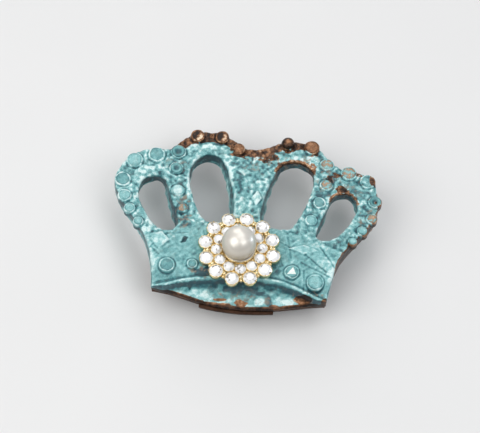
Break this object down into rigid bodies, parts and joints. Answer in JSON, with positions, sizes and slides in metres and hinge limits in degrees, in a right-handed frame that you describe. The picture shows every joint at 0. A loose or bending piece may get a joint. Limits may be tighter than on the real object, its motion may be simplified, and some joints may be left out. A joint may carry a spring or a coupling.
{
  "type": "crown hair clip",
  "caption": "Patinated cast crown with open arches and ringed stones, a pearl and rhinestone button on its band, and a sprung alligator clip behind.",
  "frame": {"origin": "centre of the bounding box's bottom face, on the surface the clip rests on when the crown lies on its back", "axes": "+X across the crown to the right as seen from its front, +Y up the crown from its band to its top, +Z out of its front face"},
  "size_m": [0.0624, 0.0454, 0.0203],
  "materials": {
    "verdigris_paint": "worn verdigris paint over copper-brown metal",
    "painted_stone": "glass painted over, satin",
    "bare_copper": "tarnished copper",
    "gold_plate": "polished gold plate",
    "clear_adhesive": "cured glue",
    "pearl_coat": "pearlescent",
    "clear_stone": "cut, foil backed",
    "clip_steel": "nickel-plated",
    "spring_wire": "drawn wire"
  },
  "bodies": {
    "crown": {"crown_casting": "verdigris_paint", "back_plate": "bare_copper", "button_setting": "gold_plate", "button_glue": "clear_adhesive", "pearl": "pearl_coat", "clip_fixed_jaw": "clip_steel", "clip_hinge_pin": "clip_steel", "clip_spring": "spring_wire", "frame_stone_01": "painted_stone", "frame_stone_02": "painted_stone", "frame_stone_03": "painted_stone", "frame_stone_04": "painted_stone", "frame_stone_05": "painted_stone", "frame_stone_06": "painted_stone", "frame_stone_07": "painted_stone", "frame_stone_08": "painted_stone", "frame_stone_09": "painted_stone", "frame_stone_10": "painted_stone", "frame_stone_11": "painted_stone", "frame_stone_12": "painted_stone", "frame_stone_13": "painted_stone", "frame_stone_14": "painted_stone", "frame_stone_15": "painted_stone", "frame_stone_16": "painted_stone", "frame_stone_17": "painted_stone", "frame_stone_18": "painted_stone", "frame_stone_19": "painted_stone", "frame_stone_20": "painted_stone", "frame_stone_21": "painted_stone", "frame_stone_22": "painted_stone", "frame_stone_23": "painted_stone", "frame_stone_24": "painted_stone", "frame_stone_25": "painted_stone", "frame_stone_26": "painted_stone", "outer_stone_01": "clear_stone", "outer_stone_02": "clear_stone", "outer_stone_03": "clear_stone", "outer_stone_04": "clear_stone", "outer_stone_05": "clear_stone", "outer_stone_06": "clear_stone", "outer_stone_07": "clear_stone", "outer_stone_08": "clear_stone", "outer_stone_09": "clear_stone", "outer_stone_10": "clear_stone", "outer_stone_11": "clear_stone", "outer_stone_12": "clear_stone", "inner_stone_01": "clear_stone", "inner_stone_02": "clear_stone", "inner_stone_03": "clear_stone", "inner_stone_04": "clear_stone", "inner_stone_05": "clear_stone", "inner_stone_06": "clear_stone", "inner_stone_07": "clear_stone", "inner_stone_08": "clear_stone", "inner_stone_09": "clear_stone", "inner_stone_10": "clear_stone", "inner_stone_11": "clear_stone", "inner_stone_12": "clear_stone"},
    "moving_jaw": {"clip_moving_jaw": "clip_steel"}
  },
  "joints": [
    {"name": "clip_hinge", "type": "hinge", "parent": "crown", "child": "moving_jaw", "pos_m": [0.006, -0.0065, 0.004], "axis": [0, -1, 0], "range_deg": [0, 16], "stiffness_Nm_per_rad": 0.01, "springref_deg": -17.19, "deforming": ["clip_spring"]}
  ]
}
